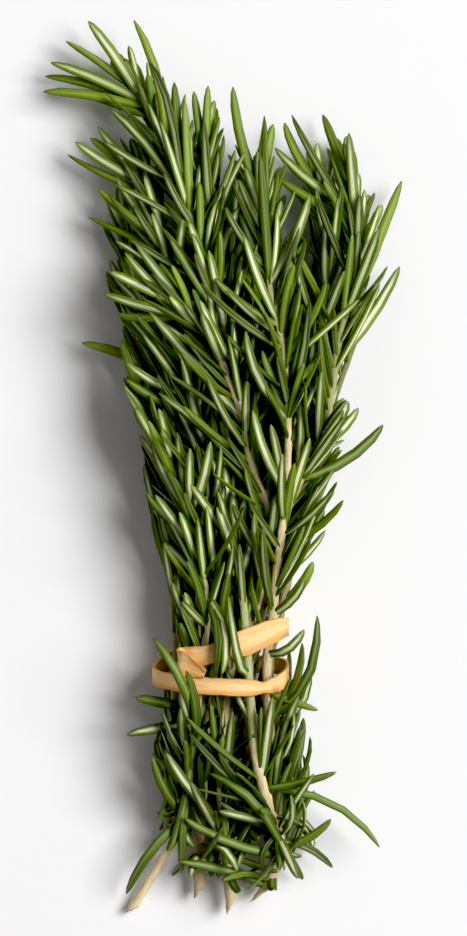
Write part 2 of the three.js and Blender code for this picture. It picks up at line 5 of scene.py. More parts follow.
import bpy
import numpy as np
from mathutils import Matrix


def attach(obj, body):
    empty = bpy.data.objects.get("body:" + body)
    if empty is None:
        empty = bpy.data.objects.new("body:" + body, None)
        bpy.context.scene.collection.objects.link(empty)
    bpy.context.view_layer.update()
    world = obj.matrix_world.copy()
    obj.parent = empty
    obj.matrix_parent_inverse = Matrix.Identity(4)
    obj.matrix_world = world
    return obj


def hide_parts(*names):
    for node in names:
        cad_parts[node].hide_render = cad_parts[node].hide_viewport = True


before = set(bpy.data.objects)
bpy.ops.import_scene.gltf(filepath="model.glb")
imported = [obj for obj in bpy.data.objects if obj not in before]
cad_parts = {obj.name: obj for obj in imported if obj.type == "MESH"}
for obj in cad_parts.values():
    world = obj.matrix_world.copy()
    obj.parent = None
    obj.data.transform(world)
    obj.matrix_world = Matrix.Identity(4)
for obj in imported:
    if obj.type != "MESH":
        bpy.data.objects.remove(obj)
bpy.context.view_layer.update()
millimetre = 0.001

# The woody stems. Each sprig is one stem cut on a slant with a knife, and two of them carry a side shoot.
# Old wood is tan and streaked with brown bark, and the young end under the tips is a soft grey green.
butt_radius = 1.3
tip_radius = 0.6
butt_slant = 1.2
shoot_thickness = 0.75
shoot_seed = 20
slim_sprig = "sprig_far_left"
slim_thickness = 0.78
green_sprig = "sprig_pale_front"
green_woody_share = 0.5
curve_samples = 12
stem_rings = 150
stem_sides = 12
bark_ring = 0.3
shortest_cut = 1.5
longest_cut = 6
cut_reach = 16
cut_roughness = 0.3
knot_spacing = 6.4
knot_swelling = 0.12
bark_ridges = 3
bark_ridge_height = 0.05
bark_ridge_twist = 0.12
bark_map_unit = 10
tie_y = -47
low_stem_heights = (9, 16)
table_gap = 0.02

# Each sprig is its stem and then its side shoot: the y where its needles begin, and the places it passes
# through from the cut end to the tip.
sprigs = {
    "sprig_top_left_long": [
        (-90, [
            (2.1, -98.9, 4.2), (0.8, -88, 6.2), (-0.2, -70, 10), (1.8, -47, 13.6), (7.2, -32, 14),
            (10.4, -18, 15.6), (9.4, -8, 17.8), (6, 2, 20.6), (3.9, 14.8, 22.4), (-0.1, 32.7, 22),
            (-6.1, 52.7, 19), (-12.8, 70.6, 13.6), (-19.5, 85.1, 8.4),
        ]),
        (24, [
            (4.6, 11, 22.4), (1.2, 20, 24.6), (-3.4, 29, 25.6), (-8.4, 35, 25.2), (-13.5, 38.5, 23.4),
        ]),
    ],
    "sprig_right": [
        (-89, [
            (7.9, -97.3, 4.4), (11.7, -89.5, 5.4), (11.4, -70, 8), (9.8, -47, 13), (11.2, -32.9, 16),
            (12.4, -20.8, 18.6), (14.4, -10, 19.8), (17.8, -2, 20.4), (22.9, 9.7, 20.6), (26.4, 30, 19.6),
            (30, 42.5, 16.8), (29.5, 58.1, 12), (28.4, 69, 8.6),
        ]),
        (10, [
            (12.7, -18.5, 19.2), (14, -8, 21.4), (14.6, 3, 23), (14.6, 14, 24.4), (13.6, 26, 24.6),
            (10.6, 39.4, 23), (8.8, 52.7, 19), (7.6, 66, 14.6),
        ]),
    ],
    "sprig_left_cluster": [
        (-88, [
            (-5.2, -95.8, 4.4), (-5, -84, 6), (-4, -65, 9), (-2.2, -47, 11), (-1.6, -30, 11.6),
            (-3, -10, 14), (-5, 8, 16.6), (-8.4, 30.4, 17.2), (-13.4, 52.7, 12.6), (-17.5, 66, 8.4),
        ]),
    ],
    "sprig_centre_top": [
        (-81, [
            (-1.4, -84, 4.2), (0.6, -66, 6.4), (1.6, -47, 7.6), (2, -30, 9), (2.4, -15, 12), (2, 5, 15.2),
            (1, 25, 16), (-1.7, 46, 15.4), (-3.4, 59, 13.6), (-3.8, 72, 11.2),
        ]),
    ],
    "sprig_top_right": [
        (-82, [
            (5.8, -86, 4.8), (6, -74, 6.6), (5.6, -47, 10.6), (9.6, -30, 11.6), (13.2, -14, 13.4),
            (16.8, 3.7, 15), (19.6, 20, 14.6), (23, 36, 13.4), (24.2, 50, 11), (22, 64, 8),
        ]),
    ],
    "sprig_far_left": [
        (-74, [
            (-20.4, -99.6, 2.6), (-14.8, -90, 4.6), (-9.6, -80, 8.4), (-7, -65, 12.6), (-4.8, -47, 16.2),
            (-3.3, -31, 17.2), (-5.4, -20.8, 17.2), (-8.4, -9, 17), (-11.4, 0.6, 16.6), (-15.4, 8, 16),
            (-18.6, 16, 15),
        ]),
    ],
    "sprig_middle_left": [
        (-80, [
            (-9.4, -83, 4.8), (-8.6, -68, 8.4), (-6.6, -47, 12), (-5.2, -28, 11.2), (-6.4, -10, 11.4),
            (-8, 5.9, 12.2), (-10.6, 18.2, 12.4), (-14.6, 30, 11.6), (-18, 40, 10.4),
        ]),
    ],
    "sprig_lower_right": [
        (-79, [
            (16.2, -82, 3.4), (14, -67, 5.4), (10.4, -47, 8.8), (12.6, -34, 9), (15.6, -20.8, 10.2),
            (18.6, -7.5, 11.2), (21.8, 5.9, 11.2), (26, 18, 10.6), (29.6, 28, 9.8),
        ]),
    ],
    "sprig_pale_front": [
        (-82, [
            (14.6, -89.1, 8), (11, -77.7, 13.4), (7.7, -65.7, 17), (6.2, -52, 18), (5.4, -41, 17.8),
            (4.2, -27, 17.4), (1.6, -14, 16.2), (-1.4, -2, 15.8), (-2.4, 8, 16.4),
        ]),
    ],
    "sprig_back_left": [
        (-78, [
            (-12, -81, 3.4), (-11.6, -66, 6.6), (-10.2, -47, 9.4), (-10.8, -30, 8.4), (-11.8, -12, 7.4),
            (-13.6, 6, 7.2), (-16.4, 24, 6.8), (-19.4, 40, 5.6), (-22, 54, 4.4),
        ]),
    ],
    "sprig_back_right": [
        (-80, [
            (8.8, -83, 2.8), (7.8, -66, 4.4), (6.4, -47, 5.8), (10, -28, 5.4), (15, -8, 5.4), (20, 12, 5.4),
            (24.6, 32, 5.2), (28, 50, 4.6),
        ]),
    ],
    "sprig_back_centre": [
        (-82, [
            (-4.4, -85, 2.5), (-3.8, -68, 3.8), (-2.6, -47, 4.6), (-1.6, -26, 4.8), (1, -4, 5.6),
            (4.4, 18, 6), (7.4, 38, 6), (10, 58, 5.6),
        ]),
    ],
}


def between(low, high, share):
    return low + (high - low) * share


def unit(vectors):
    return vectors / np.linalg.norm(vectors, axis=-1, keepdims=True)


def curve_at(places, shares):
    """Places on the smooth curve that passes through given places, at shares of it from 0 to 1."""
    padded = np.vstack([2 * places[0] - places[1], places, 2 * places[-1] - places[-2]])
    spans = np.clip(shares, 0, 1) * (len(places) - 1)
    first = np.minimum(spans.astype(int), len(places) - 2)
    t = (spans - first)[:, None]
    before, start, end, after = (padded[first + step] for step in range(4))
    leaving = (end - before) / 2
    arriving = (after - start) / 2
    bend = 3 * (end - start) - 2 * leaving - arriving
    return start + leaving * t + bend * t**2 + (2 * (start - end) + leaving + arriving) * t**3


class Stem:
    """A stem as a fine line of points, with the length run so far at each of them."""

    def __init__(self, owner, shoot, leaves_from, places):
        samples = (len(places) - 1) * curve_samples + 1
        self.points = curve_at(np.array(places, float), np.linspace(0, 1, samples))
        steps = np.diff(self.points, axis=0)
        self.runs = np.concatenate([[0], np.cumsum(np.linalg.norm(steps, axis=1))])
        self.directions = unit(steps)
        self.length = self.runs[-1]
        self.owner = owner
        self.seed = owner + shoot * shoot_seed
        self.thickness = shoot_thickness if shoot else 1
        self.leaves_from = self.run_at_y(leaves_from)

    def run_at_y(self, y):
        return self.runs[np.argmin(np.abs(self.points[:, 1] - y))]

    def radius(self, runs):
        return between(butt_radius, tip_radius, runs / self.length) * self.thickness

    def at(self, run):
        """The place, direction, right side and upper side of the stem at a length from its cut end."""
        limited = min(max(run, 0), self.length - 1e-6)
        i = min(max(np.searchsorted(self.runs, limited, side="right") - 1, 0), len(self.points) - 2)
        share = (limited - self.runs[i]) / (self.runs[i + 1] - self.runs[i])
        place = between(self.points[i], self.points[i + 1], share)
        direction = self.directions[i]
        right = unit(np.cross(direction, (0, 0, 1)))
        return place, direction, right, np.cross(right, direction)

    def smooth_frames(self, runs):
        """The same for many lengths at once, with directions that turn evenly from point to point."""
        middles = (self.runs[1:] + self.runs[:-1]) / 2
        places = np.stack([np.interp(runs, self.runs, self.points[:, i]) for i in range(3)], axis=1)
        turned = [np.interp(runs, middles, self.directions[:, i]) for i in range(3)]
        directions = unit(np.stack(turned, axis=1))
        rights = unit(np.cross(directions, (0, 0, 1)))
        return places, directions, rights, np.cross(rights, directions)


stems = [
    Stem(owner, shoot, leaves_from, places)
    for owner, parts in enumerate(sprigs.values())
    for shoot, (leaves_from, places) in enumerate(parts)
]


def edit(piece):
    """Starts work on one piece in edit mode, with nothing selected."""
    bpy.ops.object.select_all(action="DESELECT")
    piece.select_set(True)
    bpy.context.view_layer.objects.active = piece
    bpy.ops.object.mode_set(mode="EDIT")
    bpy.ops.mesh.select_mode(type="VERT")
    bpy.ops.mesh.select_all(action="DESELECT")


def pick(piece, wanted):
    """Selects the points of a piece whose place passes a test, and nothing else."""
    bpy.ops.mesh.select_all(action="DESELECT")
    bpy.ops.object.mode_set(mode="OBJECT")
    for vertex in piece.data.vertices:
        vertex.select = wanted(vertex.co)
    bpy.ops.object.mode_set(mode="EDIT")


def finish_edit():
    bpy.ops.object.mode_set(mode="OBJECT")


def straight_stem():
    """One straight rod along z from 0 to 1, with a bark ring round its cut end and a closed tip."""
    bpy.ops.object.select_all(action="DESELECT")
    bpy.ops.mesh.primitive_circle_add(vertices=stem_sides, radius=1, fill_type="NOTHING")
    rod = bpy.context.object
    bpy.ops.object.mode_set(mode="EDIT")
    bpy.ops.mesh.select_all(action="SELECT")
    bpy.ops.mesh.extrude_region_move(TRANSFORM_OT_translate={"value": (0, 0, 1 / stem_rings)})
    finish_edit()
    repeat = rod.modifiers.new("rings", "ARRAY")
    repeat.count = stem_rings
    repeat.relative_offset_displace = (0, 0, 1)
    repeat.use_merge_vertices = True
    repeat.merge_threshold = 0.1 / stem_rings
    bpy.ops.object.modifier_apply(modifier="rings")
    edit(rod)
    pick(rod, lambda co: co.z < 0.5 / stem_rings)
    bpy.ops.mesh.edge_face_add()
    bpy.ops.mesh.select_mode(type="FACE")
    bpy.ops.mesh.inset(thickness=bark_ring)
    bpy.ops.mesh.poke()
    bpy.ops.mesh.select_mode(type="VERT")
    pick(rod, lambda co: co.z > 1 - 0.5 / stem_rings)
    bpy.ops.mesh.merge(type="CENTER")
    bpy.ops.mesh.select_all(action="SELECT")
    bpy.ops.mesh.normals_make_consistent(inside=False)
    finish_edit()
    return rod


def coordinates(piece):
    places = np.zeros(len(piece.data.vertices) * 3)
    piece.data.vertices.foreach_get("co", places)
    return places.reshape(-1, 3)


def faces_of(piece):
    """The faces of a piece, in an order that is the same each time."""
    return sorted(tuple(face.vertices) for face in piece.data.polygons)


def remove(piece):
    mesh = piece.data
    bpy.data.objects.remove(piece)
    bpy.data.meshes.remove(mesh)


def new_piece(name, places, faces, values, corners, map_name):
    """A piece from places in millimetres, with values for each point and a map for each face corner."""
    mesh = bpy.data.meshes.new(name)
    places = np.column_stack([places[:, :2], np.maximum(places[:, 2], table_gap)])
    mesh.from_pydata((places * millimetre).tolist(), [], faces)
    for value_name, numbers in values.items():
        attribute = mesh.attributes.new(value_name, "FLOAT", "POINT")
        attribute.data.foreach_set("value", np.asarray(numbers, np.float32))
    layer = mesh.uv_layers.new(name=map_name)
    layer.data.foreach_set("uv", np.asarray(corners, np.float32).ravel())
    mesh.polygons.foreach_set("use_smooth", np.full(len(mesh.polygons), True))
    mesh.update()
    piece = bpy.data.objects.new(name, mesh)
    bpy.context.scene.collection.objects.link(piece)
    return piece


def draw(sprig, node, purpose):
    """A repeatable draw between 0 and 1."""
    wave = math.sin(sprig * 127.1 + node * 311.7 + purpose * 74.7) * 43758.5453
    return wave - math.floor(wave)


class Value:
    """A socket of a finish's nodes, on which sums are written as on a number."""

    def __init__(self, finish, made, output=0):
        self.finish = finish
        self.made = made
        self.socket = made.outputs[output]

    def output(self, name):
        return Value(self.finish, self.made, name)

    def maths(self, operation, first, second):
        return self.finish.node("ShaderNodeMath", {"operation": operation}, {0: first, 1: second})

    def __add__(self, other):
        return self.maths("ADD", self, other)

    __radd__ = __add__

    def __sub__(self, other):
        return self.maths("SUBTRACT", self, other)

    def __rsub__(self, other):
        return self.maths("SUBTRACT", other, self)

    def __mul__(self, other):
        return self.maths("MULTIPLY", self, other)

    __rmul__ = __mul__

    def __gt__(self, other):
        return self.maths("GREATER_THAN", self, other)

    def __abs__(self):
        return self.maths("ABSOLUTE", self, 0)


class Finish:
    """A material with its shader, and one way to add any node to it."""

    def __init__(self, name, **constants):
        self.material = bpy.data.materials.new(name)
        self.material.use_nodes = True
        self.tree = self.material.node_tree
        self.shader = self.tree.nodes["Principled BSDF"]
        for socket, value in constants.items():
            self.shader.inputs[socket.replace("_", " ").title()].default_value = value

    def node(self, kind, settings, inputs, output=0):
        made = self.tree.nodes.new(kind)
        for setting, value in settings.items():
            if setting == "stops":
                self.set_stops(made.color_ramp.elements, value)
            else:
                setattr(made, setting, value)
        for socket, value in inputs.items():
            if isinstance(value, Value):
                self.tree.links.new(value.socket, made.inputs[socket])
            else:
                made.inputs[socket].default_value = value
        return Value(self, made, output)

    def set_stops(self, elements, stops):
        while len(elements) < len(stops):
            elements.new(0.5)
        for element, (position, colour) in zip(elements, stops):
            element.position = position
            element.color = colour

    def attribute(self, name):
        return self.node("ShaderNodeAttribute", {"attribute_name": name}, {}, "Fac")

    def step(self, value, low, high):
        """0 below low and 1 above high, with a soft rise between. Low may be the larger one."""
        limits = {"Value": value, "From Min": low, "From Max": high}
        return self.node("ShaderNodeMapRange", {"interpolation_type": "SMOOTHSTEP"}, limits)

    def mix(self, share, first, second):
        return self.node("ShaderNodeMix", {"data_type": "RGBA"}, {"Factor": share, 6: first, 7: second}, 2)

    def streaks(self, place, scale, along, detail):
        """Noise from 0 to 1 that is drawn out along the second axis of a map or place."""
        stretch = {"Vector": place, "Scale": (1.0, along, along)}
        drawn = self.node("ShaderNodeMapping", {}, stretch)
        return self.node("ShaderNodeTexNoise", {}, {"Vector": drawn, "Scale": scale, "Detail": detail})

    def wear(self, sockets):
        for socket, value in sockets.items():
            self.tree.links.new(value.socket, self.shader.inputs[socket])

    def bump(self, height, strength, distance):
        sockets = {"Height": height, "Strength": strength, "Distance": distance}
        return self.node("ShaderNodeBump", {}, sockets)


def paint(red, green, blue):
    """A colour as a screen shows it, from 0 to 255 a channel, as the light that it stands for."""
    levels = np.array([red, green, blue]) / 255
    light = np.where(levels <= 0.04045, levels / 12.92, ((levels + 0.055) / 1.055) ** 2.4)
    return (*light.tolist(), 1.0)


bark = Finish("rosemary_bark", roughness=0.8)
bark_map = bark.node("ShaderNodeUVMap", {"uv_map": "bark"}, {})
bark_grain = bark.streaks(bark_map, 26.0, 0.16, 4.0)
bark_patches = bark.streaks(bark_map, 5.0, 0.5, 3.0)
bark_age = bark.attribute("age")
cut_face = bark.attribute("cut")
old_wood = bark.node(
    "ShaderNodeValToRGB",
    {"stops": [(0.3, paint(146, 108, 64)), (0.42, paint(216, 192, 144)), (0.62, paint(244, 230, 194))]},
    {0: bark_grain * 0.7 + bark_patches * 0.3},
)
young_wood = bark.mix(bark_grain, paint(128, 142, 70), paint(208, 208, 160))
wood_colour = bark.mix(bark.step(bark_age + bark_patches * 0.3, 0.35, 0.75), young_wood, old_wood)
# Stems low under the tie are mixed towards dark brown: partly brown bark, partly painted shade.
wood_colour = bark.mix(bark.attribute("brown") * 0.6, wood_colour, paint(92, 84, 44))
cut_colour = bark.mix(bark_patches, paint(236, 222, 176), paint(206, 178, 118))
bark.wear({
    "Base Color": bark.mix(cut_face, wood_colour, cut_colour),
    "Normal": bark.bump(bark_grain, 0.45, 0.0004),
})

stem_pattern = straight_stem()
stem_places = coordinates(stem_pattern)
stem_faces = faces_of(stem_pattern)
remove(stem_pattern)
stem_rounds = np.arctan2(stem_places[:, 1], stem_places[:, 0]) / (2 * math.pi)


def bent_stem(stem, thickness, woody_share):
    """The rod bent along a stem, with knots, ridges and a slanted cut, and the values of its points."""
    is_end = stem_places[:, 2] < 0.5 / stem_rings
    cut_length = between(shortest_cut, longest_cut, draw(stem.seed, 0, 41))
    cut = between(-butt_slant, cut_length, stem_places[:, 1] / 2 + 0.5)
    cut += np.where(is_end, cut_roughness * np.sin(stem_rounds * 31 + stem.seed), 0)
    runs = stem_places[:, 2] * stem.length
    runs = runs + cut * np.clip(1 - runs / cut_reach, 0, 1)
    places, directions, rights, ups = stem.smooth_frames(np.maximum(runs, 0))
    knot = 0.5 + 0.5 * np.cos(runs * 2 * math.pi / knot_spacing + stem.seed)
    winding = stem_rounds * bark_ridges * 2 * math.pi + runs * bark_ridge_twist + stem.seed
    swelling = knot_swelling * knot**8 + bark_ridge_height * np.cos(winding)
    radius = stem.radius(runs) * thickness * (1 + swelling)
    bent = places + ups * (stem_places[:, 0] * radius)[:, None]
    bent += rights * (stem_places[:, 1] * radius)[:, None] + directions * np.minimum(runs, 0)[:, None]
    is_cut = is_end & (np.hypot(*stem_places[:, :2].T) < 1 - bark_ring / 2)
    # A stem that passes low under the tie is browner and darker: partly its own brown bark, partly painted
    # shade where it lies low under the others.
    height_at_tie = stem.at(stem.run_at_y(tie_y))[0][2]
    brown = np.full(len(runs), 1 - np.interp(height_at_tie, low_stem_heights, (0, 1)))
    return bent, 1 - runs / (stem.length * woody_share), is_cut, runs, brown


def repeated(faces, count, copies):
    """The faces of several copies of a mesh with a count of points, numbered on from copy to copy."""
    return [tuple(index + copy * count for index in face) for copy in range(copies) for face in faces]


def round_corners(faces, rounds, runs, seam):
    """A map of each face corner: once round the section across, and the run along it."""
    corners = []
    for face in faces:
        around = rounds[list(face)]
        if around.max() - around.min() > 0.5:
            around = np.where(around < seam, around + 1, around)
        corners.append(np.stack([around, runs[list(face)]], axis=1))
    return np.concatenate(corners)


for owner, name in enumerate(sprigs):
    thickness = slim_thickness if name == slim_sprig else 1
    woody_share = green_woody_share if name == green_sprig else 1
    bends = [bent_stem(stem, thickness, woody_share) for stem in stems if stem.owner == owner]
    faces = repeated(stem_faces, len(stem_places), len(bends))
    places, ages, cuts, runs, browns = (np.concatenate(parts) for parts in zip(*bends))
    corners = round_corners(faces, np.tile(stem_rounds, len(bends)), runs / bark_map_unit, 0)
    values = {"age": ages, "cut": cuts, "brown": browns}
    wood = new_piece(name + "_wood", places, faces, values, corners, "bark")
    wood.data.materials.append(bark.material)
    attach(wood, "root")
    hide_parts(name)

# The tie, one strip of dried palm leaf. It is wound one and two thirds times round the stems and folded
# over itself at the front left. Its edges curl up where it dried, and pale fibres run along it.
tie_half_width = 14.2
tie_half_height = 9.8
tie_centre_height = 10.45
strip_width = 4.4
strip_thickness = 0.5
solid_strip_thickness = 0.8
strip_curl = 0.35
strip_curl_shares = (-1.4, 1.6)
strip_crease_angle = 50
strip_rows = 8
strip_steps = 260
strip_map_length = 135

# Each knot of the strip is the angle round the bunch in degrees, y, how far out it stands, and the share of
# the strip's full width.
strip_knots = np.array([
    (104, -46.2, 2.3, 0.35), (110, -45.6, 2.25, 0.6), (118, -44.7, 2.2, 0.85), (126, -43.7, 2.15, 0.95),
    (131, -43.1, 1.1, 0.95), (127, -42.8, 0, 0.9), (116, -42.5, 0, 0.85), (102, -41.9, 0, 0.85),
    (88, -40.7, 0, 0.9), (70, -39.2, 0.1, 1), (50, -37.4, 0.1, 1), (28, -36.1, 0, 0.95), (0, -35.8, 0, 0.9),
    (-30, -36.6, 0, 0.9), (-60, -38, 0, 0.9), (-90, -39.8, 0, 0.9), (-120, -41.9, 0, 0.9),
    (-150, -44.2, 0.2, 0.85), (-180, -46.2, 0.8, 0.8), (-205, -47.4, 1, 0.8), (-230, -48.3, 1.2, 0.8),
    (-250, -48.8, 0.9, 0.8), (-270, -49.1, 0.5, 0.8), (-290, -49.3, 0.2, 0.8), (-312, -49.2, 0, 0.75),
    (-335, -47.8, 0, 0.8), (-360, -45.8, 0, 0.85), (-385, -44.8, 0, 0.85), (-410, -44.4, 0, 0.85),
    (-432, -44.4, 0, 0.85),
])
strip_turns = np.radians(strip_knots[:, 0])
strip_places = np.stack([
    (tie_half_width + strip_knots[:, 2]) * np.cos(strip_turns),
    strip_knots[:, 1],
    tie_centre_height + (tie_half_height + strip_knots[:, 2]) * np.sin(strip_turns),
], axis=1)


def strip_frames(shares):
    """The middle, side direction, outer direction and full width of the strip at shares of its length."""
    places = curve_at(strip_places, shares)
    alongs = unit(curve_at(strip_places, shares + 1e-4) - curve_at(strip_places, shares - 1e-4))
    acrosses = unit(np.array([0, 1, 0]) - alongs * alongs[:, 1:2])
    widths = np.interp(shares, np.linspace(0, 1, len(strip_knots)), strip_knots[:, 3]) * strip_width
    return places, acrosses, np.cross(alongs, acrosses), widths


# Where the strip is wider or narrower than its knots say: the angle, how far that reaches, and how much. It
# spreads at its folded corner, over the upper right and along the lower front, and is pinched at the right.
strip_swells = [(122, 12, 0.3), (64, 34, 0.34), (-308, 6, -0.26), (-262, 40, 0.08)]

# The strip is a flat grid, bent along its knots and then given its thickness.
bpy.ops.object.select_all(action="DESELECT")
bpy.ops.mesh.primitive_grid_add(x_subdivisions=strip_rows, y_subdivisions=strip_steps, size=1)
strip = bpy.context.object
strip.name = "raffia_strip"
flat_places = coordinates(strip)
sides = flat_places[:, 0] * 2
shares = flat_places[:, 1] + 0.5
centres, acrosses, outs, widths = strip_frames(shares)
turned = np.interp(shares, np.linspace(0, 1, len(strip_knots)), strip_knots[:, 0])
for angle, spread, wider in strip_swells:
    widths = widths * (1 + wider * np.exp(-(((turned - angle) / spread) ** 2)))
# Its edges wander by a few hundredths of its width, it curls across, and fine ridges run along it.
uneven = 1 + 0.03 * np.sin(shares * 90) + 0.02 * np.sin(shares * 233 + sides * 2)
curl = strip_curl * between(*strip_curl_shares, outs[:, 2] / 2 + 0.5) * sides**2
ridges = 0.05 * np.cos(sides * 9 + np.sin(shares * 40)) + 0.03 * np.cos(sides * 21 + 1.4)
lift = curl + ridges + solid_strip_thickness / 2
bent = centres + acrosses * (sides * widths / 2 * uneven)[:, None] + outs * lift[:, None]
strip.data.vertices.foreach_set("co", (bent * millimetre).ravel())
layer = strip.data.uv_layers.new(name="strip")
loops = np.zeros(len(strip.data.loops), int)
strip.data.loops.foreach_get("vertex_index", loops)
strip_map = np.stack([sides, shares * strip_map_length / strip_width], axis=1)
layer.data.foreach_set("uv", strip_map[loops].astype(np.float32).ravel())
strip.data.update()
thicken = strip.modifiers.new("thickness", "SOLIDIFY")
thicken.thickness = strip_thickness * millimetre
thicken.offset = 0
bpy.ops.object.modifier_apply(modifier="thickness")
edit(strip)
bpy.ops.mesh.select_all(action="SELECT")
bpy.ops.mesh.normals_make_consistent(inside=False)
finish_edit()
bpy.ops.object.shade_smooth_by_angle(angle=math.radians(strip_crease_angle))

straw = Finish("raffia_straw", roughness=0.55)
straw_map = straw.node("ShaderNodeUVMap", {"uv_map": "strip"}, {})
fibres = straw.streaks(straw_map, 9.0, 0.09, 5.0)
broad_fibres = straw.streaks(straw_map, 2.6, 0.25, 2.0)
blotches = straw.streaks(straw_map, 1.1, 0.8, 2.0)
straw_colour = straw.node(
    "ShaderNodeValToRGB",
    {"stops": [
        (0.2, paint(196, 138, 62)), (0.4, paint(236, 188, 116)), (0.55, paint(245, 206, 144)),
        (0.75, paint(252, 226, 178)),
    ]},
    {0: fibres * 0.5 + broad_fibres * 0.3 + blotches * 0.2},
)
strip_across = straw.node("ShaderNodeSeparateXYZ", {}, {0: straw_map})
# Painted shade: the strip's lower edge and both curled edges are mixed towards a deeper orange.
shaded_edge = straw.step(0 - strip_across + blotches * 0.5, 0.35, 1.1)
straw_colour = straw.mix(shaded_edge * 0.75, straw_colour, paint(206, 146, 70))
curled_edge_shade = straw.step(abs(strip_across) + blotches * 0.3, 0.9, 1.2)
# Painted shade at the fold: the folded end of the strip is mixed towards a deeper orange as well.
fold_shade = straw.step(strip_across.output("Y") + blotches, 3.4, 1.4)
straw_colour = straw.mix(curled_edge_shade * 0.6 + fold_shade * 0.5, straw_colour, paint(198, 138, 66))
straw.wear({
    "Base Color": straw_colour,
    "Normal": straw.bump(fibres * 0.5 + broad_fibres, 0.4, 0.0004),
})
strip.data.materials.clear()
strip.data.materials.append(straw.material)
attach(strip, "root")
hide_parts("raffia_tie")

# The needles: narrow leathery leaves with their edges rolled under. The upper side is smooth and green with
# a sunken midline, the under side has a pale felted band. They grow in crossed pairs, joined to the stem.
needle_width = 2.4
needle_thickness = 1.15
needle_length = 20
tip_needle_length = 11
tip_node_spacing = 3.6
open_angle = 44
tip_open_angle = 17
crossing_wobble = 16
tip_zone = 32
bow_angle = 7
middle_share = 0.52
middle_lift = 0.6
root_share = 0.12
off_stem_share = 0.6
needle_clearance = 2.3
own_clearance = 1.5
needle_reach = needle_clearance / 2
own_reach = own_clearance / 2
stem_clearance = 0.45
stem_rod_spacing = 4.5
strip_rod_sides = (-0.38, 0, 0.38)
strip_rod_radius = 0.75
floor_clearance = 0.4
crown_height = 33
tip_height = 12
waist_height = 22.4
waist_y = -45
waist_rise = (10, 60)
tip_fall = (25, 95)

# The outline of the bunch from above, which the needles that grow by rule stay inside, and the two places
# (x, y, radius) in it where the table shows through.
outline = [
    (-12, -92), (-15, -80), (-16, -65), (-14, -55), (-12.5, -45), (-10, -36), (-11.5, -27), (-14.5, -16),
    (-17.5, -4), (-19, 10), (-22, 18), (-23, 30), (-22, 36), (-27, 40), (-25, 49), (-23, 52), (-30, 56),
    (-25, 63), (-34, 70), (-29, 77), (-27, 80), (-38, 84), (-38, 91), (-30, 98), (-20, 98), (-12, 88),
    (-6, 84), (2, 84), (6, 77), (13, 77), (22, 78), (29, 73), (31, 62), (37, 61), (35, 50), (37, 44),
    (32, 33), (27, 26), (25, 20), (29, 12), (27, 3), (25, -6), (21, -13), (17, -22), (15, -30), (15.5, -42),
    (16, -52), (20, -58), (19, -66), (22, -70), (18, -77), (22, -81), (19, -91), (8, -96),
]
gaps_to_table = [(15, 57.9, 2.4), (19.7, 53.6, 1.8)]

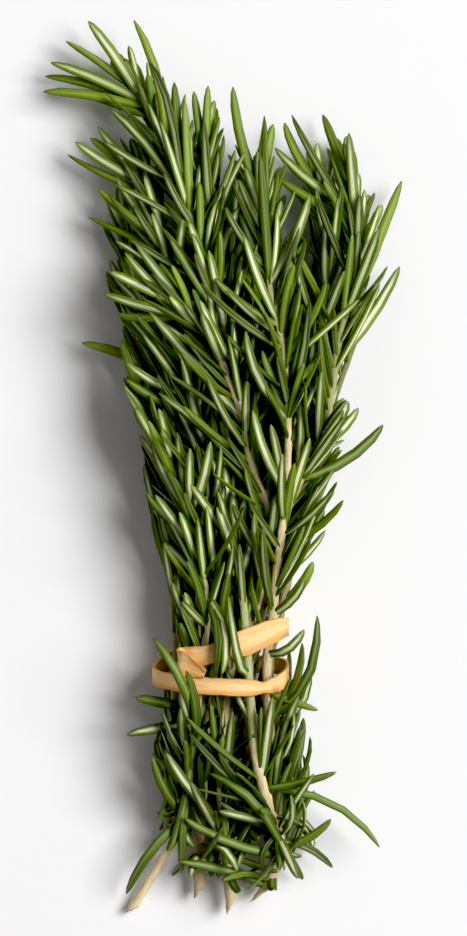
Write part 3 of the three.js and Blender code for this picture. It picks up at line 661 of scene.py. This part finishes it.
# Needles that stand out in the bunch, one list for each stem: the y of the root, the tip, how far the
# middle bows to the left, which side shows (1 the pale felt, 0 the green), and a middle of its own where the
# needle climbs over something.
shown_needles = [
    [
        (82, (-30, 99.6, 10), -0.5, 1), (84, (-35.1, 95.3, 7), -0.5, 0),
        (70, (-19.8, 99.7, 13), 0, 0, (-14.4, 86.5, 16.6)),
        (60, (-16.4, 90.2, 19.5), 0, 1, (-11.8, 79.8, 21.5)), (82, (-38.4, 90.4, 8), -0.6, 1),
        (81, (-39.7, 87.4, 5.4), -0.8, 0), (80, (-40.1, 83.9, 7.6), -0.8, 0),
        (78, (-37, 84.9, 4.6), -0.6, 0), (57, (-25.3, 80, 15), -1.5, 1), (61, (-16.6, 81, 18.4), 0, 1),
        (58, (-13.9, 76.8, 21.4), 0, 1), (62, (-10.8, 85.7, 16.5), 0, 0), (56, (-8.4, 81.7, 18), 0, 0),
        (26, (-19.5, 50.1, 27), 1, 1), (25, (-21.7, 47.6, 25), 1, 1), (10, (-16.2, 34.4, 28), 0, 1),
        (-4, (-14.2, 16.4, 26), -1, 1), (31, (-11.7, 50.7, 26), 0, 0), (36, (-6.8, 51.8, 28), 0, 1),
        (-79, (-12.4, -63.9, 19), 1, 1),
    ],
    [(33.5, (-26.6, 38.7, 22.5), 0.5, 1), (36, (-25.1, 43.4, 22), 0, 1), (34, (-23.5, 34, 19), 1, 0)],
    [
        (50, (28.2, 74.4, 15), 0, 1), (35, (40.1, 63.9, 6), -0.3, 0), (38, (36, 53.6, 11), -0.5, 0),
        (24, (39.6, 44.7, 7), -1, 1), (-3, (35.8, 9.3, 15), -2, 0), (4, (30.2, 13, 22), -1, 1),
        (55, (15.5, 78.6, 9.4), 0.6, 1), (53, (12.8, 64.3, 8.4), 0, 0), (57, (11.7, 71.2, 11.4), 1, 1),
        (60, (22.4, 78.8, 6), 0, 0), (7, (27.8, 14.6, 20), -1, 1), (46, (30.7, 60.5, 18), 0, 1),
        (-56, (21.1, -33.3, 20), 0, 0, (18.8, -47.5, 17.6)),
        (-94, (-9.9, -88.2, 13), 0, 0, (1.5, -90.5, 9.8)), (-80, (17.3, -57.9, 17), 0, 0),
        (-33, (18.2, -25.1, 20), -1, 1), (-50, (21.3, -54.4, 15), 0, 0),
        (-74, (17, -51.2, 20), 0, 1, (13.2, -61.4, 17)),
        (-42, (18.2, -36.4, 18.6), 0, 1, (14.4, -40.8, 18)),
    ],
    [
        (60, (2.3, 84.8, 13), 1, 0), (47, (9.3, 78.1, 20), 0, 0), (40, (8.4, 69.5, 25), 0, 0),
        (26, (-4.8, 40.7, 31), 1, 1), (31, (-1.7, 41.8, 28), 1, 0), (12, (19.3, 37.1, 29), -1, 1),
        (10, (5.2, 30, 30), 2, 1), (-6, (6.8, 12.4, 27), 1, 1), (62, (11.3, 76.4, 15), 0, 0),
        (40, (19.5, 60.6, 21), -1, 1), (-19, (5.9, -7.9, 25), 0, 1), (24, (23.1, 41.4, 26), -1, 0),
    ],
    [
        (62, (-28, 76.1, 9), 0, 1), (62.5, (-32.9, 72.6, 10.4), 0.5, 1), (61, (-34.7, 69.9, 6), 0.5, 0),
        (64, (-29.6, 73.6, 6), 0, 0), (50, (-27.8, 62.1, 12), 0.5, 0), (47, (-30, 55.9, 8), 0, 0),
        (14, (-17.7, 29.3, 25), 0, 1), (20, (-11, 33.1, 20), 0, 0), (15.5, (-21.5, 23.3, 22), 1, 1),
        (12, (-21.5, 19.6, 19), 1, 0), (-14, (-5.7, 5.2, 22), 0, 1),
    ],
    [(67, (-6.4, 83.9, 10), 0, 0), (69, (-3.2, 85.1, 12), 0, 0), (52, (-4.1, 77, 19), 0, 1)],
    [(62, (13.9, 77, 7), 1, 0), (-18, (26.9, -7.5, 19), -1.5, 0), (-26, (22.9, -14.2, 17), -1, 1)],
    [
        (14, (-22.6, 28, 17), 0, 0), (-4, (-18.4, 7, 22), 0, 1), (-18, (-12.4, -0.8, 23), -1, 0),
        (-79, (-21.6, -95.7, 6), 0, 0, (-16.6, -86.6, 11.4)), (-78, (-15.5, -64.8, 19), 1, 0),
        (-60, (-8.1, -45.5, 25), 0, 0, (-6, -53.6, 22)), (-36, (-9, -30, 21), 0, 1),
        (-58, (-15.4, -38.2, 24), 0, 0, (-9.4, -47, 27)),
    ],
    [
        (24, (-23, 34, 15), 0, 0), (-46, (-9.4, -34.8, 16.6), 0, 0), (-54, (-19.4, -51.6, 14), 0, 0),
        (-58, (-21.3, -59.9, 15), 0, 1, (-14.4, -58.4, 15.6)),
    ],
    [(-31, (20.2, -21.3, 13), -1, 0)],
    [
        (-8, (-2.3, 12.5, 19.5), 0, 1), (-24, (-1.2, -8.8, 23), 0, 1),
        (-46, (1.2, -28.7, 24.5), 0, 1, (3.4, -42.8, 23.8)), (-77, (-7.2, -59.4, 22), 1, 1),
        (-86, (-3.2, -68.3, 17), 0, 0, (7.2, -75, 19.4)), (-87, (-8.6, -78.4, 14), 1.5, 0),
        (-72, (35.1, -85.1, 12), 4, 0), (-72, (25.3, -68.1, 19), -0.5, 0), (-85, (24.2, -78.8, 12), -1, 0),
        (-83, (24.6, -89.8, 8), 1.5, 1), (-80, (-0.8, -76.8, 17), 0, 1), (-85, (17.9, -92.6, 5), 0, 0),
        (-70, (11.2, -51.4, 23), 0, 1),
    ],
    [(22, (-22, 40, 1), 0, 0, (-19.6, 31, 0.5)), (22, (-31.5, 27.6, 8), -0.5, 0)],
    [(12, (28, 33, 1), 0, 0, (25, 23, 0.5))],
    [(24, (5, 46, 1), 0, 0, (5.4, 36, 0.5))],
]


class TakenSpace:
    """Rods that stand for what is already there, which a new needle has to keep clear of."""

    most_rods = 16000
    tie = -1
    view = -2

    def __init__(self):
        self.starts, self.spans, self.centres = np.zeros((3, self.most_rods, 3))
        self.reaches, self.radii, self.own_radii = np.zeros((3, self.most_rods))
        self.owners = np.zeros(self.most_rods, int)
        self.count = 0

    def add(self, owner, start, end, radius, own_radius=0.0):
        i = self.count
        self.starts[i] = start
        self.spans[i] = end - start
        self.centres[i] = (start + end) / 2
        self.reaches[i] = np.linalg.norm(end - start) / 2
        self.radii[i] = radius
        self.own_radii[i] = own_radius
        self.owners[i] = owner
        self.count += 1

    def is_free(self, owner, start, end, radius, own_radius):
        n = self.count
        span = end - start
        is_own = self.owners[:n] == owner
        least = np.where(is_own, self.own_radii[:n] + own_radius, self.radii[:n] + radius)
        apart = np.linalg.norm(self.centres[:n] - (start + end) / 2, axis=1)
        near = apart <= self.reaches[:n] + np.linalg.norm(span) / 2 + least
        near &= ~is_own | ((self.own_radii[:n] > 0) & (own_radius > 0))
        if not near.any():
            return True
        gaps = self.gaps(start, span, self.starts[:n][near], self.spans[:n][near])
        return bool((gaps >= least[near]).all())

    def gaps(self, start, span, starts, spans):
        """The shortest distances between one straight stretch and many."""
        offset = start - starts
        span_span = span @ span
        spans_spans = (spans * spans).sum(axis=1)
        span_spans = spans @ span
        span_offset = offset @ span
        spans_offset = (spans * offset).sum(axis=1)
        cross = span_span * spans_spans - span_spans**2
        whole = np.where(cross > 1e-9, cross, 1)
        s = np.clip((span_spans * spans_offset - span_offset * spans_spans) / whole, 0, 1)
        s = np.where(cross > 1e-9, s, 0)
        t = (span_spans * s + spans_offset) / spans_spans
        beyond = (t < 0) | (t > 1)
        t = np.clip(t, 0, 1)
        s = np.where(beyond, np.clip((span_spans * t - span_offset) / span_span, 0, 1), s)
        between_them = start + span * s[:, None] - starts - spans * t[:, None]
        return np.linalg.norm(between_them, axis=1)


space = TakenSpace()
for stem in stems:
    for run in np.arange(0, stem.length, stem_rod_spacing):
        start = stem.at(run)[0]
        end = stem.at(run + stem_rod_spacing)[0]
        space.add(stem.owner, start, end, stem.radius(run) + stem_clearance)

strip_rods = len(strip_knots) * 2
centres, acrosses, outs, widths = strip_frames(np.linspace(0, 1, strip_rods + 1))
for step in range(strip_rods):
    for side in strip_rod_sides:
        start, end = (
            centres[i] + acrosses[i] * side * widths[i] + outs[i] * solid_strip_thickness / 2
            for i in (step, step + 1)
        )
        space.add(space.tie, start, end, strip_rod_radius)

# The stretches of stem that lie bare to the eye: the number of the stem, counted with the shoots, and the y
# where the stretch begins and ends. The needles keep off a slim space over them.
bare_stretches = [(0, -9, 9), (2, 17, 33), (2, -33, -17), (7, -30, -22), (10, -41, -31)]
bare_from = 2.6
bare_to = 13
bare_radius = 0.8
bare_spacing = 3
for number, from_y, to_y in bare_stretches:
    stem = stems[number]
    for run in np.arange(stem.run_at_y(from_y), stem.run_at_y(to_y), bare_spacing):
        place = stem.at(run)[0]
        space.add(space.view, place + [0, 0, bare_from], place + [0, 0, bare_to], bare_radius)


def smoothstep(value, low, high):
    share = min(max((value - low) / (high - low), 0), 1)
    return share * share * (3 - 2 * share)


def is_inside(place):
    """Whether a place is inside the bunch's outline from above, over the table and under its crown."""
    x, y, z = place
    top = min(
        between(waist_height, crown_height, smoothstep(abs(y - waist_y), *waist_rise)),
        between(crown_height, tip_height, smoothstep(y, *tip_fall)),
    )
    if z > top or z < floor_clearance:
        return False
    if any(math.hypot(x - gap_x, y - gap_y) < radius for gap_x, gap_y, radius in gaps_to_table):
        return False
    inside = False
    for (x1, y1), (x2, y2) in zip(outline, outline[1:] + outline[:1]):
        if (y1 > y) != (y2 > y) and x < x1 + (x2 - x1) * (y - y1) / (y2 - y1):
            inside = not inside
    return inside


def claim(owner, needle, reach, inner_reach, is_grown):
    """Takes a needle's space if it is free."""
    root, middle, tip = needle["root"], needle["middle"], needle["tip"]
    near = between(root, middle, root_share)
    off = between(root, middle, off_stem_share)
    stretches = [(near, off, 0.0), (off, middle, inner_reach), (middle, tip, inner_reach)]
    if is_grown and not (is_inside(middle) and is_inside(tip)):
        return False
    for start, end, own in stretches:
        if not space.is_free(owner, start, end, reach, own if is_grown else 0.0):
            return False
    for start, end, own in stretches:
        space.add(owner, start, end, reach, own)
    return True


def grown_needle(stem, run, turn, opening, length, bow):
    """A needle that grows at an angle round its stem, opens from it and bows back towards it."""
    place, direction, right, up = stem.at(run)
    outward = right * math.cos(turn) + up * math.sin(turn)

    def heading(angle):
        return direction * math.cos(angle) + outward * math.sin(angle)

    middle = place + heading(opening + bow) * length * middle_share
    tip = middle + heading(opening - bow) * length * (1 - middle_share)
    return {"root": place, "middle": middle, "tip": tip, "facing": direction}


def first_clear(stem, run, turn, opening, length, bow, reaches, tries):
    """The first needle that finds room, tried at shares of its length and opening and at degrees aside."""
    lengths, openings, asides = tries
    for shorter in lengths:
        for wider in openings:
            for aside in asides:
                needle = grown_needle(
                    stem, run, turn + math.radians(aside), opening * wider, length * shorter, bow
                )
                if claim(stem.owner, needle, *reaches, True):
                    return needle
    return None


shown_upward = 0.9
shown_forward = 0.4


def shown_needle(stem, root_y, tip, bow, pale, middle=None):
    """A needle to a tip of its own, turned so that its pale or its green side looks up."""
    root, direction = stem.at(stem.run_at_y(root_y))[:2]
    tip = np.array(tip, float)
    along = unit(tip - root)
    left = unit(np.array([-along[1], along[0], 0]))
    bowed = between(root, tip, middle_share) + left * bow + np.array([0, 0, middle_lift])
    middle = bowed if middle is None else np.array(middle, float)
    upward = -shown_upward if pale else shown_upward
    facing = direction * shown_forward + np.array([0, 0, upward])
    return {"root": root, "middle": middle, "tip": tip, "facing": facing}


# Each kind of needle has keys of its own for its draws. Old needles stand under the tie and young ones near
# the tips, and more of the old ones turn their pale side up.
shown_keys = 500
over_keys = 700
grown_keys = 1000
hanging_keys = 2000
fine_keys = 3000
old_zone = (-40, -60)
young_zone = 30
old_shade = 0.7
pale_shares = (0.14, 0.6)
grown_narrowest = 0.74
shown_narrowest = 0.9
widest = 1.04
roll_angle = 48
needles = [[] for name in sprigs]


def oldness(y):
    return smoothstep(y, *old_zone)


def keep(stem, needle, run, key):
    """Adds a needle to its sprig, with its age and its own draws of colour, width and roll."""
    old = oldness(needle["root"][1])
    needle["youth"] = smoothstep(run, stem.length - young_zone, stem.length)
    needle["old"] = old
    needle["shade"] = draw(stem.seed, key, 11) * between(1, old_shade, old)
    if key >= grown_keys and between(*pale_shares, old) > draw(stem.seed, key, 14):
        needle["facing"] = -needle["facing"]
    narrowest = grown_narrowest if key >= grown_keys else shown_narrowest
    needle["width"] = needle_width * between(narrowest, widest, draw(stem.seed, key, 12))
    needle["roll"] = math.radians(between(-roll_angle, roll_angle, draw(stem.seed, key, 13)))
    needles[stem.owner].append(needle)


for stem, given in zip(stems, shown_needles):
    for key, entry in enumerate(given):
        needle = shown_needle(stem, *entry)
        if claim(stem.owner, needle, needle_reach, own_reach, False):
            keep(stem, needle, stem.run_at_y(entry[0]), shown_keys + key)

# The crossed pairs of needles that grow by rule, up to a short bare tip.
grown_bare_tip = 1
grown_sizes = (0.85, 1.15)
grown_spacings = (0.88, 1.12)
grown_tries = ((1, 0.84, 0.68), (1, 0.75, 1.25, 0.5), (0, 20, -20, 40, -40))
for stem in stems:
    run = stem.leaves_from
    node = 0
    while run < stem.length - grown_bare_tip:
        from_tip = smoothstep(run, stem.length - tip_zone, stem.length)
        size = between(*grown_sizes, draw(stem.seed, node, 1))
        length = between(needle_length, tip_needle_length, from_tip) * size
        opening = math.radians(between(open_angle, tip_open_angle, from_tip))
        wobble = between(-crossing_wobble, crossing_wobble, draw(stem.seed, node, 2))
        crossed = math.radians(90 * node + 45 + wobble)
        for side in (0, 1):
            bow = math.radians(between(-bow_angle / 2, bow_angle, draw(stem.seed, node, 3 + side)))
            needle = first_clear(
                stem, run, crossed + side * math.pi, opening, length, bow,
                (needle_reach, own_reach), grown_tries,
            )
            if needle:
                keep(stem, needle, run, grown_keys + node * 2 + side)
        spacing = between(knot_spacing, tip_node_spacing, from_tip)
        run += spacing * between(*grown_spacings, draw(stem.seed, node, 5))
        node += 1

# Finer needles fill in between those of the solids, where they keep clear by their real width.
fine_reach = 0.62
fine_own_reach = 0.42
fine_tie_radius = 2.6
grown_margin = 0.15
grown_own_margin = 0.1
taken = slice(space.count)
is_needle = space.radii[taken] == needle_reach
space.radii[taken] = np.where(is_needle, fine_reach + grown_margin, space.radii[taken])
space.own_radii[taken] = np.where(space.own_radii[taken] > 0, fine_own_reach + grown_own_margin, 0)
for gap_x, gap_y, radius in gaps_to_table:
    space.add(space.view, np.array([gap_x, gap_y, 0.0]), np.array([gap_x, gap_y, crown_height]), radius)

# Some needles lie over the upper turn of the tie, over the cut end at the left, beside the tie and between
# the cut ends. Each is given with the number of its stem, and then as the others are.
needles_over = [
    (7, -29, (-0.2, -46.4, 21.9), 0, 1, (0.6, -36.6, 23.4)),
    (7, -30, (-1.8, -47, 22.4), 0, 0, (-1.1, -37, 23.6)),
    (7, -58, (-12.4, -86, 10.5), 0, 0, (-8.8, -77, 12.4)),
    (7, -72, (-9.2, -91, 9), 0, 0, (-9, -81.5, 12.4)),
    (9, -54, (17.8, -39.5, 10), 0, 0, (16, -49, 10.3)),
    (9, -57, (19.4, -45, 8), 0, 1, (17.6, -53, 8.3)),
    (5, -80, (-2.6, -92, 2.6), 0, 0, (-1.8, -86, 3.1)),
    (5, -79, (1.4, -91.5, 2), 0, 0, (0.8, -86, 2.3)),
]
for key, (number, *entry) in enumerate(needles_over):
    stem = stems[number]
    needle = shown_needle(stem, *entry)
    if claim(stem.owner, needle, fine_reach, fine_own_reach, False):
        keep(stem, needle, stem.run_at_y(entry[0]), over_keys + key)
space.radii[:space.count][space.owners[:space.count] == space.tie] = fine_tie_radius

# Round the cut ends of the stems old needles hang down, each a golden turn on from the last.
golden_turn = 137.5
hanging_needles = 9
hanging_spacing = 1.1
hanging_before = 5
hanging_first_run = 2
hanging_openings = (118, 160)
hanging_lengths = (8, 15)
hanging_bow = 24
hanging_tries = ((1, 0.8), (1, 0.85), (0, 30, -30))
for stem in stems:
    for node in range(hanging_needles if stem.seed < shoot_seed else 0):
        run = max(stem.leaves_from - hanging_before, hanging_first_run) + node * hanging_spacing
        opening = math.radians(between(*hanging_openings, draw(stem.seed, node, 51)))
        length = between(*hanging_lengths, draw(stem.seed, node, 52))
        bow = math.radians(between(-hanging_bow, hanging_bow, draw(stem.seed, node, 53)))
        needle = first_clear(
            stem, run, math.radians(golden_turn * node), opening, length, bow,
            (fine_reach, fine_own_reach), hanging_tries,
        )
        if needle:
            keep(stem, needle, run, hanging_keys + node)

# The rest of the finer needles stand close along the whole stem, and the old ones are bent more.
fine_before = 6
fine_first_run = 3
fine_bare_tip = 0.5
fine_tip_zone = 26
fine_sizes = (0.7, 1.1)
fine_openings = (30, 13)
fine_opening_shares = (0.6, 1.2)
fine_old_bow = 3
fine_spacings = (1.5, 1.0)
fine_tries = ((1, 0.8), (1, 0.7, 1.3), (0, 30, -30))
for stem in stems:
    run = max(stem.leaves_from - fine_before, fine_first_run)
    node = 0
    while run < stem.length - fine_bare_tip:
        from_tip = smoothstep(run, stem.length - fine_tip_zone, stem.length)
        size = between(*fine_sizes, draw(stem.seed, node, 31))
        length = between(needle_length, tip_needle_length, from_tip) * size
        wider = between(*fine_opening_shares, draw(stem.seed, node, 32))
        opening = math.radians(between(*fine_openings, from_tip) * wider)
        bent_more = between(1, fine_old_bow, oldness(stem.at(run)[0][1]))
        bow = math.radians(between(-bow_angle, bow_angle, draw(stem.seed, node, 33)) * bent_more)
        needle = first_clear(
            stem, run, math.radians(golden_turn * node), opening, length, bow,
            (fine_reach, fine_own_reach), fine_tries,
        )
        if needle:
            keep(stem, needle, run, fine_keys + node)
        run += between(*fine_spacings, from_tip)
        node += 1


# The one needle that all the others are copies of: its share of the full width at shares of its length.
blade_sides = 8
blade_widths = [(0, 0.45), (0.12, 0.85), (0.35, 1), (0.6, 0.98), (0.82, 0.85), (0.94, 0.55), (1, 0.14)]


def straight_needle():
    """One straight needle along z from 0 to 1, with x across and y out of its upper side."""
    bpy.ops.object.select_all(action="DESELECT")
    bpy.ops.mesh.primitive_circle_add(vertices=blade_sides, radius=1, fill_type="NGON")
    blade = bpy.context.object
    rounds = blade.data.attributes.new("round", "FLOAT", "POINT")
    rounds.data.foreach_set("value", np.arctan2(*coordinates(blade)[:, 1::-1].T) / (2 * math.pi) % 1)
    edit(blade)
    sunken_line = (lambda co: co.y > 0.95, -0.3)
    felted_groove = (lambda co: co.y < -0.95, 0.42)
    rolled_edges = (lambda co: -0.8 < co.y < -0.6, -0.15)
    sloped_sides = (lambda co: abs(co.y) < 0.1, -0.3)
    for wanted, move in (sunken_line, felted_groove, rolled_edges, sloped_sides):
        pick(blade, wanted)
        bpy.ops.transform.translate(value=(0, move, 0))
    bpy.ops.mesh.select_all(action="SELECT")
    root_width = blade_widths[0][1]
    bpy.ops.transform.resize(value=(root_width, root_width, 1))
    for (low, before), (high, after) in zip(blade_widths, blade_widths[1:]):
        bpy.ops.mesh.extrude_region_move(TRANSFORM_OT_translate={"value": (0, 0, high - low)})
        bpy.ops.transform.resize(value=(after / before, after / before, 1), center_override=(0, 0, high))
    bpy.ops.mesh.select_all(action="SELECT")
    bpy.ops.mesh.normals_make_consistent(inside=False)
    finish_edit()
    return blade


needle_pattern = straight_needle()
blade_places = coordinates(needle_pattern)
blade_faces = faces_of(needle_pattern)
blade_rounds = np.zeros(len(blade_places))
needle_pattern.data.attributes["round"].data.foreach_get("value", blade_rounds)
blade_seam = 0.4
blade_corners = round_corners(blade_faces, blade_rounds, blade_places[:, 2], blade_seam)
remove(needle_pattern)
root_roll = 0.4
roll_rise = 0.9


def bent_needle(needle):
    """The straight needle bent through the root, middle and tip of a real one."""
    root, middle, tip = needle["root"], needle["middle"], needle["tip"]
    pull = 2 * middle - root / 2 - tip / 2
    t = blade_places[:, 2:3]
    places = root * (1 - t) ** 2 + pull * 2 * t * (1 - t) + tip * t**2
    along = unit((pull - root) * (1 - t) + (tip - pull) * t)
    across = unit(np.cross(along, needle["facing"]))
    above = np.cross(across, along)
    roll = needle["roll"] * (root_roll + roll_rise * t)
    flat = across * np.cos(roll) + above * np.sin(roll)
    high = above * np.cos(roll) - across * np.sin(roll)
    half = needle["width"] / 2
    depth = half * needle_thickness / needle_width
    return places - flat * blade_places[:, :1] * half + high * blade_places[:, 1:2] * depth


leaf = Finish("rosemary_needle")
leaf_map = leaf.node("ShaderNodeUVMap", {"uv_map": "blade"}, {})
leaf_round = leaf.node("ShaderNodeSeparateXYZ", {}, {0: leaf_map})
leaf_length = leaf_round.output("Y")
shade = leaf.attribute("shade")
youth = leaf.attribute("youth")
is_under = leaf_round > 0.5
off_rib = abs(leaf_round - 0.75) * 4
off_line = abs(leaf_round - 0.25) * 4
felt = is_under * leaf.step(off_rib, 0.38, 0.08) * (leaf.step(leaf_length, 1.0, 0.72) * 0.75 + 0.25)
rib = is_under * leaf.step(off_rib, 0.07, 0.0) * leaf.step(leaf_length, 0.7, 0.4)
midline_highlight = (1 - is_under) * leaf.step(off_line, 0.34, 0.02)
edge_shade = leaf.step(is_under * off_rib + (1 - is_under) * off_line, 0.62, 1.0)
leaf_grain = leaf.streaks(leaf_map, 14.0, 0.25, 3.0)
leaf_place = leaf.node("ShaderNodeTexCoord", {}, {}, "Object")
leaf_mottle = leaf.node("ShaderNodeTexNoise", {}, {"Vector": leaf_place, "Scale": 9000.0, "Detail": 2.0})
green = leaf.node(
    "ShaderNodeValToRGB",
    {"stops": [(0.0, paint(48, 66, 8)), (0.5, paint(92, 118, 20)), (1.0, paint(135, 158, 42))]},
    {0: shade * 0.6 + leaf_grain * 0.8 - 0.2},
)
green = leaf.mix(youth * 0.4, green, paint(132, 160, 36))
green = leaf.mix(leaf.attribute("old") * 0.3, green, paint(86, 98, 54))
# Painted highlight: a lighter green line along the sunken centre of each needle's upper side.
green = leaf.mix(midline_highlight * 0.5, green, paint(156, 182, 92))
# Painted shade: both sides of each needle darken towards a very dark green.
green = leaf.mix(edge_shade * 0.6, green, paint(38, 52, 10))
felt_colour = leaf.mix(leaf_grain * 0.5 + shade * 0.8, paint(158, 176, 96), paint(250, 250, 218))
felt_colour = leaf.mix(rib * 0.6, felt_colour, paint(96, 130, 40))
pale_root = leaf.step(leaf_length, 0.1, 0.0)
base_colour = leaf.mix(pale_root, leaf.mix(felt, green, felt_colour), paint(170, 176, 108))
brown_tip = leaf.step(leaf_length, 0.97, 0.995) * (shade > 0.85)
leaf.wear({
    "Base Color": leaf.mix(brown_tip * 0.8, base_colour, paint(120, 92, 44)),
    "Roughness": felt * 0.4 + leaf_mottle * 0.16 + 0.4,
    "Normal": leaf.bump(leaf_mottle * 0.5 + leaf_grain, 0.35, 0.0003),
})

for name, grown in zip(sprigs, needles):
    places = np.concatenate([bent_needle(needle) for needle in grown])
    count = len(blade_places)
    faces = repeated(blade_faces, count, len(grown))
    corners = np.tile(blade_corners, (len(grown), 1))
    values = {
        value_name: np.repeat([needle[value_name] for needle in grown], count)
        for value_name in ("shade", "youth", "old")
    }
    foliage = new_piece(name + "_needles", places, faces, values, corners, "blade")
    foliage.data.materials.append(leaf.material)
    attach(foliage, "root")
    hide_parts(name)

# The table: a smooth board with a pale matt finish, so large that it runs out of the picture on all sides.
# It isn't part of the object.
table_size = 4
bpy.ops.object.select_all(action="DESELECT")
bpy.ops.mesh.primitive_plane_add(size=table_size)
table = bpy.context.object
table.name = "table"
board = Finish("table_board", roughness=0.6)
board_place = board.node("ShaderNodeTexCoord", {}, {}, "Object")
board_clouds = board.node("ShaderNodeTexNoise", {}, {"Vector": board_place, "Scale": 9.0, "Detail": 3.0})
board.wear({"Base Color": board.mix(board_clouds, paint(236, 237, 238), paint(242, 242, 243))})
table.data.materials.append(board.material)

# The light: a large soft lamp up to the right, and a faint even light from all round.
lamp_distance = 5
lamp_direction = np.array([0.62, 0.21, 0.86])
lamp_size = 2.9
lamp_power = 297
room_colour = (1, 0.94, 0.95, 1)
room_strength = 0.23
bpy.ops.object.light_add(type="AREA", location=(unit(lamp_direction) * lamp_distance).tolist())
lamp = bpy.context.object
lamp.data.shape = "DISK"
lamp.data.size = lamp_size
lamp.data.energy = lamp_power
lamp.rotation_euler = (
    math.acos(unit(lamp_direction)[2]),
    0,
    math.atan2(lamp_direction[1], lamp_direction[0]) + math.pi / 2,
)
world = bpy.data.worlds.new("even_light")
bpy.context.scene.world = world
world.use_nodes = True
room = world.node_tree.nodes["Background"]
room.inputs["Color"].default_value = room_colour
room.inputs["Strength"].default_value = room_strength

# The picture has deep blacks: this level and all that is darker shows as black.
black_level = 0.02
view = bpy.context.scene.view_settings
view.view_transform = "Standard"
view.use_curve_mapping = True
view.curve_mapping.black_level = (black_level, black_level, black_level)
view.curve_mapping.update()

# The camera: straight above, far enough away that the tall needles don't lean out.
view_height = 208.7 * millimetre
view_centre = (2.45 * millimetre, -0.33 * millimetre)
bunch_middle = 18 * millimetre
camera_distance = 2.5
film_height = 24
farthest = 10
bpy.ops.object.camera_add(location=(*view_centre, bunch_middle + camera_distance), rotation=(0, 0, 0))
camera = bpy.context.object
camera.data.sensor_fit = "VERTICAL"
camera.data.sensor_height = film_height
camera.data.lens = film_height * camera_distance / view_height
camera.data.clip_end = farthest
bpy.context.scene.camera = camera
